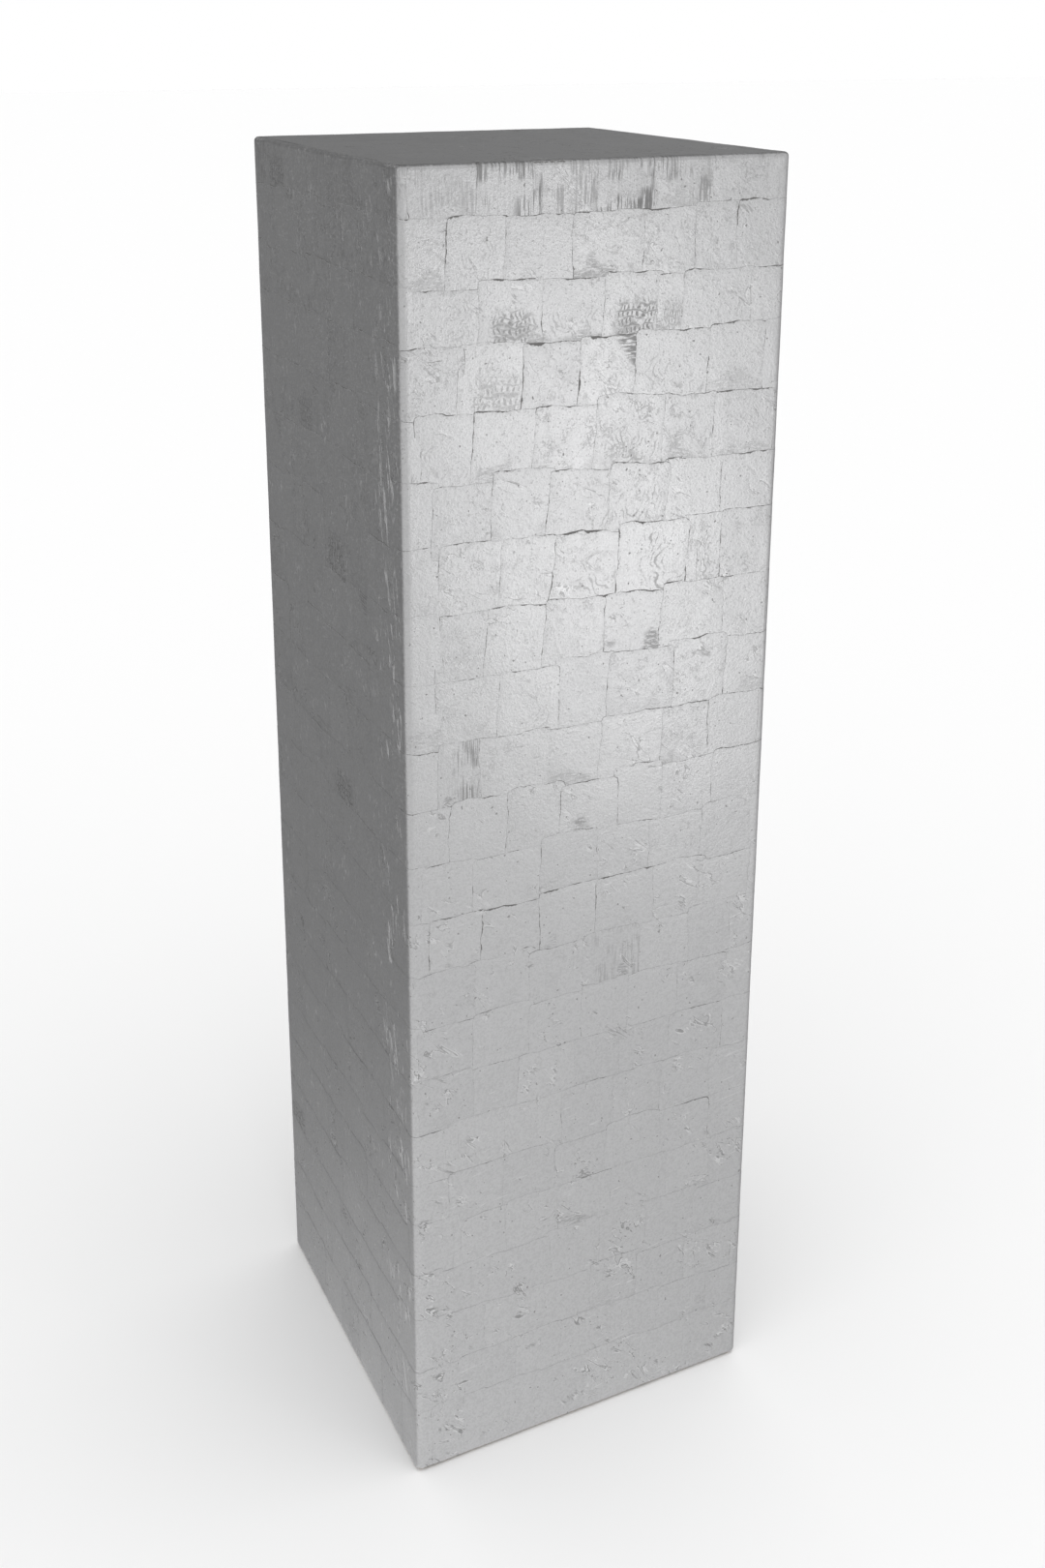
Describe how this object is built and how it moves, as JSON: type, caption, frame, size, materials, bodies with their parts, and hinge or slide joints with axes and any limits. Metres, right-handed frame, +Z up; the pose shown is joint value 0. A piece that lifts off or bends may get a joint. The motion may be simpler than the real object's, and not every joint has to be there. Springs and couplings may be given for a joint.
{
  "type": "display pedestal",
  "caption": "Tall square display pedestal covered in overlapping squares of silver leaf, standing on hidden felt-faced glides.",
  "frame": {"origin": "on the floor, under the middle of the pedestal", "axes": "+Z up, front face towards -Y, left face towards -X"},
  "size_m": [0.35, 0.35, 1.2],
  "materials": {
    "silver_leaf": "fibreboard gilded with lapped squares of silver leaf over grey bole, satin lacquer",
    "fibreboard": "raw fibreboard, matt",
    "softwood": "planed pine, matt",
    "plywood": "birch plywood, matt",
    "hardwood": "beech, matt",
    "glide_plastic": "black nylon",
    "felt": "pressed wool felt",
    "zinc_plated_steel": "bright zinc plate"
  },
  "bodies": {
    "root": {"back_wall": "silver_leaf", "base_cleat_back": "softwood", "base_cleat_front": "softwood", "base_cleat_left": "softwood", "base_cleat_right": "softwood", "base_panel": "fibreboard", "base_screws": "zinc_plated_steel", "felt_pad_back_left": "felt", "felt_pad_back_right": "felt", "felt_pad_front_left": "felt", "felt_pad_front_right": "felt", "front_wall": "silver_leaf", "glide_back_left": "glide_plastic", "glide_back_right": "glide_plastic", "glide_front_left": "glide_plastic", "glide_front_right": "glide_plastic", "glide_screws": "zinc_plated_steel", "left_wall": "silver_leaf", "lower_post_back_left": "softwood", "lower_post_back_right": "softwood", "lower_post_front_left": "softwood", "lower_post_front_right": "softwood", "mid_brace": "plywood", "mitre_spline_back_left": "hardwood", "mitre_spline_back_right": "hardwood", "mitre_spline_front_left": "hardwood", "mitre_spline_front_right": "hardwood", "right_wall": "silver_leaf", "top_cleat_back": "softwood", "top_cleat_front": "softwood", "top_cleat_left": "softwood", "top_cleat_right": "softwood", "top_dowels": "hardwood", "top_panel": "silver_leaf", "top_screws": "zinc_plated_steel", "upper_post_back_left": "softwood", "upper_post_back_right": "softwood", "upper_post_front_left": "softwood", "upper_post_front_right": "softwood"}
  },
  "joints": []
}
